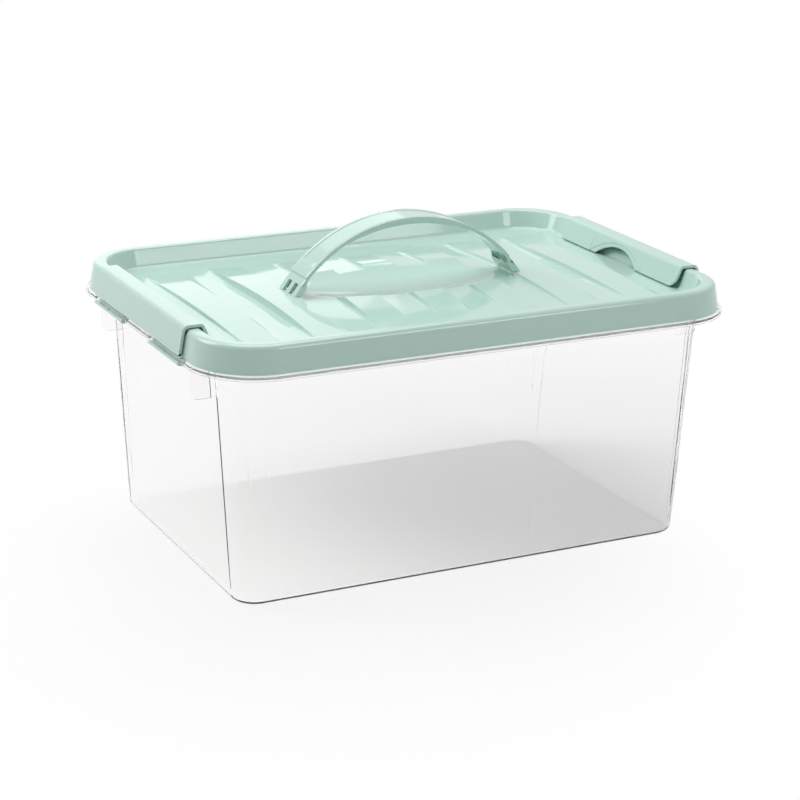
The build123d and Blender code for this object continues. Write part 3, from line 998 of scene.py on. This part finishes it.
def hook_tree():
    """Node tree: C-shaped hooks round the hinge bar, each with a drain hole."""
    sizes = ("Middle radius", "Wall", "Length", "Start angle", "Sweep", "Hole radius", "Hole angle")
    inputs = [("Geometry", "Geometry")] + [(label, "Float") for label in sizes]
    inputs += [("First", "Vector"), ("Step", "Vector"), ("Finish", "Material")]
    tree, given, out = shape_tree("hinge_hooks", inputs)
    new, join = tree.nodes.new, tree.links.new
    arc = new("GeometryNodeCurveArc")
    arc.inputs["Resolution"].default_value = 40
    section = new("GeometryNodeCurvePrimitiveQuadrilateral")
    pull = new("GeometryNodeCurveToMesh")
    pull.inputs["Fill Caps"].default_value = True
    drill = new("GeometryNodeMeshCylinder")
    drill.inputs["Vertices"].default_value = 20
    place = new("GeometryNodeTransform")
    tilt = new("ShaderNodeCombineXYZ")
    aim = new("GeometryNodeTransform")
    cut = new("GeometryNodeMeshBoolean")
    stand = new("GeometryNodeTransform")
    stand.inputs["Rotation"].default_value = (pi / 2, 0, 0)
    line = new("GeometryNodeMeshLine")
    copies = new("GeometryNodeInstanceOnPoints")
    real = new("GeometryNodeRealizeInstances")
    finish = new("GeometryNodeSetMaterial")
    join(given.outputs["Middle radius"], arc.inputs["Radius"])
    join(given.outputs["Start angle"], arc.inputs["Start Angle"])
    join(given.outputs["Sweep"], arc.inputs["Sweep Angle"])
    join(given.outputs["Wall"], section.inputs["Width"])
    join(given.outputs["Length"], section.inputs["Height"])
    join(arc.outputs["Curve"], pull.inputs["Curve"])
    join(section.outputs["Curve"], pull.inputs["Profile Curve"])
    join(given.outputs["Hole radius"], drill.inputs["Radius"])
    join(given.outputs["Middle radius"], drill.inputs["Depth"])
    place.inputs["Rotation"].default_value = (0, pi / 2, 0)
    shift = new("ShaderNodeCombineXYZ")
    join(given.outputs["Middle radius"], shift.inputs["X"])
    join(shift.outputs["Vector"], place.inputs["Translation"])
    join(drill.outputs["Mesh"], place.inputs["Geometry"])
    join(given.outputs["Hole angle"], tilt.inputs["Z"])
    join(tilt.outputs["Vector"], aim.inputs["Rotation"])
    join(place.outputs["Geometry"], aim.inputs["Geometry"])
    join(pull.outputs["Mesh"], cut.inputs["Mesh 1"])
    join(aim.outputs["Geometry"], cut.inputs["Mesh 2"])
    join(cut.outputs["Mesh"], stand.inputs["Geometry"])
    join(given.outputs["First"], line.inputs["Start Location"])
    join(given.outputs["Step"], line.inputs["Offset"])
    line.inputs["Count"].default_value = 2
    join(line.outputs["Mesh"], copies.inputs["Points"])
    join(stand.outputs["Geometry"], copies.inputs["Instance"])
    join(copies.outputs["Instances"], real.inputs["Geometry"])
    join(real.outputs["Geometry"], finish.inputs["Geometry"])
    join(given.outputs["Finish"], finish.inputs["Material"])
    join(finish.outputs["Geometry"], out.inputs["Geometry"])
    return tree


hook_start, hook_sweep, hole_radius, hole_turn = 55, 267, 1.2, -60
maker = placed("hooks", bpy.data.meshes.new("hooks"))
modifier = maker.modifiers.new("hooks", "NODES")
modifier.node_group = hook_tree()
set_inputs(
    modifier,
    Middle_radius=(hook_radius + hook_bore) / 2 * MM,
    Wall=(hook_radius - hook_bore) * MM,
    Length=hook_length * MM,
    Start_angle=radians(hook_start),
    Sweep=radians(hook_sweep),
    Hole_radius=hole_radius * MM,
    Hole_angle=radians(hole_turn),
    First=[hinge_x * MM, -hook_middle * MM, hinge_z * MM],
    Step=[0, 2 * hook_middle * MM, 0],
    Finish=mint,
)
hooks = baked(maker)
hooks.set_sharp_from_angle(angle=radians(40))
print("hooks:", len(hooks.polygons), "faces")

# %% Ribs and the two latches
holder_arc = rim_arc + 0.8
rib_right = outer_plate(ceiling) + latch_wall / 2
rib_left = rib_right - 3.4
rib_outline = [(rib_left, ceiling + 1), (rib_right, ceiling + 1)]
arc_from = atan2(ceiling - hinge_z - 2.6, rib_right - hinge_x)
arc_to = atan2(16, rib_left - hinge_x)
for angle in np.linspace(arc_from, arc_to, 6):
    rib_outline.append((hinge_x + holder_arc * cos(angle), hinge_z + holder_arc * sin(angle)))
rib_outline = [point for point in rib_outline if point[0] <= rib_right]
rib_count, rib_pitch, rib_half = 5, 32, 0.8
rib = extruded("rib", rib_outline, -rib_half, rib_half)
first_rib = -rib_pitch * (rib_count - 1) / 2
ribs = in_row("ribs", rib, rib_count, (0, first_rib, 0), (0, rib_pitch, 0), False, mint)


def one_mesh(name, meshes, turn=0.0, crisp=40):
    """Several meshes in one, turned about the box's upright axis."""
    shape = bmesh.new()
    for mesh in meshes:
        shape.from_mesh(mesh)
    bmesh.ops.rotate(shape, verts=shape.verts, cent=(0, 0, 0), matrix=Matrix.Rotation(turn, 3, "Z"))
    mesh = bpy.data.meshes.new(name)
    shape.to_mesh(mesh)
    shape.free()
    mesh.shade_smooth()
    mesh.set_sharp_from_angle(angle=radians(crisp))
    return mesh


for body, turn in (("latch_right", 0.0), ("latch_left", pi)):
    show(body + "_clip", one_mesh(body + "_clip", [latch_sheet, hooks, ribs], turn), mint, body, body)

# %% [markdown]
# ## Carry handle
# A bowed strap with a shallow groove along its top and deeper edges along the grip, so that it does not cut
# into the fingers. Each foot ends in three prongs that pass through slots in the lid and catch under it.

# %% Handle strap
handle_radius, handle_top, strap_half, strap_thickness = 108.0, 227.45, 13.0, 2.6
arch_centre = handle_top - handle_radius
grip_radius, grip_height, rail_width = 127.5, 222.4, 2.2
groove_half, groove_depth, groove_end, shoulder_x, shoulder_step = 9.5, 0.6, 74.3, 80.3, 0.8
strap_end = radians(51.2)


def strap_section(angle):
    """Points of the strap's section at an angle from the top: (distance from the arch's centre, y)."""
    x = handle_radius * sin(abs(angle))
    outer = handle_radius - shoulder_step * float(ease((x - shoulder_x) / 0.6 + 0.5))
    groove = groove_depth * float(ease((groove_end - x) / 3))
    inner = handle_radius - strap_thickness
    drop = grip_height - grip_radius - arch_centre
    rail = drop * cos(angle) + sqrt(grip_radius**2 - (drop * sin(angle)) ** 2)
    rail = min(inner, rail)
    half = strap_half
    top = [(outer - 0.5, half), (outer - 0.15, half - 0.15), (outer, half - 0.5), (outer, groove_half + 0.35),
           (outer - groove * 0.5, groove_half), (outer - groove, groove_half - 0.35),
           (outer - groove, 5.0), (outer - groove, 0.0)]
    under = [(inner, 0.0), (inner, 5.0), (inner, half - rail_width - 0.5),
             (min(inner, rail + 0.4), half - rail_width), (rail, half - rail_width + 0.4),
             (rail, half - 0.4), (rail + 0.12, half - 0.1), (rail + 0.4, half)]
    section = [(r, -y) for r, y in top] + [(r, y) for r, y in top[-2::-1]]
    section += [(r, y) for r, y in under[::-1]] + [(r, -y) for r, y in under[1:]]
    return section


shoulder_angles = [
    round(float(np.arcsin((shoulder_x + shift) / handle_radius)), 5) for shift in (-0.3, -0.1, 0.1, 0.3)
]
angles = sorted(
    set(round(-strap_end + 2 * strap_end * k / 96, 5) for k in range(97))
    | set(s * a for s in (-1, 1) for a in shoulder_angles)
)
strap_rings = [
    [(r * sin(angle), y, arch_centre + r * cos(angle)) for r, y in strap_section(angle)] for angle in angles
]
strap = make_mesh("strap", *capped(strap_rings), 32)

# %% Prongs
foot_level = tray_floor + bar_step + mound_rise * (1 - (2 * bar_pitch / mound_radius) ** 2)
prong_outer, prong_inner = handle_radius - shoulder_step, handle_radius - strap_thickness


def arch_point(radius, angle):
    return radius * sin(angle), arch_centre + radius * cos(angle)


def to_level(radius, level):
    """The angle at which an arc of the arch comes down to a level."""
    return np.arccos((level - arch_centre) / radius)


barb_top = foot_level - lid_wall - 2 * prong_fit
prong_start = strap_end - 0.02


def prong_side(radius):
    """One side of a prong, from inside the strap's end down to the lid."""
    return [arch_point(radius, a) for a in np.linspace(prong_start, to_level(radius, foot_level), 5)]


outer_side, inner_side = prong_side(prong_outer), prong_side(prong_inner)
outer_x, inner_x = foot_middle + foot_thickness / 2, foot_middle - foot_thickness / 2
prong_outline = (
    outer_side[:-1]
    + [(outer_x, foot_level), (outer_x, barb_top), (outer_x + 1.2, barb_top), (outer_x + 0.4, barb_top - 3.0)]
    + [(inner_x, barb_top - 3.0), (inner_x, foot_level)]
    + inner_side[-2::-1]
)
prong = extruded("prong", prong_outline, -prong_width / 2, prong_width / 2)
prongs = in_row("prongs", prong, 3, (0, -prong_pitch, 0), (0, prong_pitch, 0), True, mint)

# %% [markdown]
# ### Stiffening box of each foot
# Behind the prongs the foot is a small hollow box: two cheeks and a back plate brace the strap where it
# meets the lid, which is why the gaps between the prongs look dark.

# %% Cheeks and back plates
brace_depth, brace_thickness, brace_start = 3.0, 1.2, 78.5
plate_thickness, brace_lift, brace_overlap = 1.0, 0.3, 0.3


def brace_arc(radius, start_x):
    """Points of an arc of the arch from a place on the strap down to the lid."""
    first, last = np.arcsin(start_x / radius), to_level(radius, foot_level + brace_lift)
    return [arch_point(radius, a) for a in np.linspace(first, last, 6)]


outer_arc = brace_arc(prong_inner + brace_overlap, brace_start)
back_arc = brace_arc(prong_inner - brace_depth, brace_start + 1.5)
cheek = extruded("cheek", outer_arc + back_arc[::-1], -brace_thickness / 2, brace_thickness / 2)
cheek_place = strap_half - brace_thickness / 2 - 0.1
cheeks = in_row("cheeks", cheek, 2, (0, -cheek_place, 0), (0, 2 * cheek_place, 0), True, mint)
front_arc = brace_arc(prong_inner - brace_depth + plate_thickness, brace_start + 1.2)
plate = extruded("plate", front_arc + back_arc[::-1], -cheek_place, cheek_place)
plates = in_row("plates", plate, 1, (0, 0, 0), (0, 1, 0), True, mint)
handle_parts = [strap, prongs, cheeks, plates]
show("handle_strap", one_mesh("handle_strap", handle_parts, 0, 32), mint, "lid", "carry_handle")

# %% End
print("scene built")
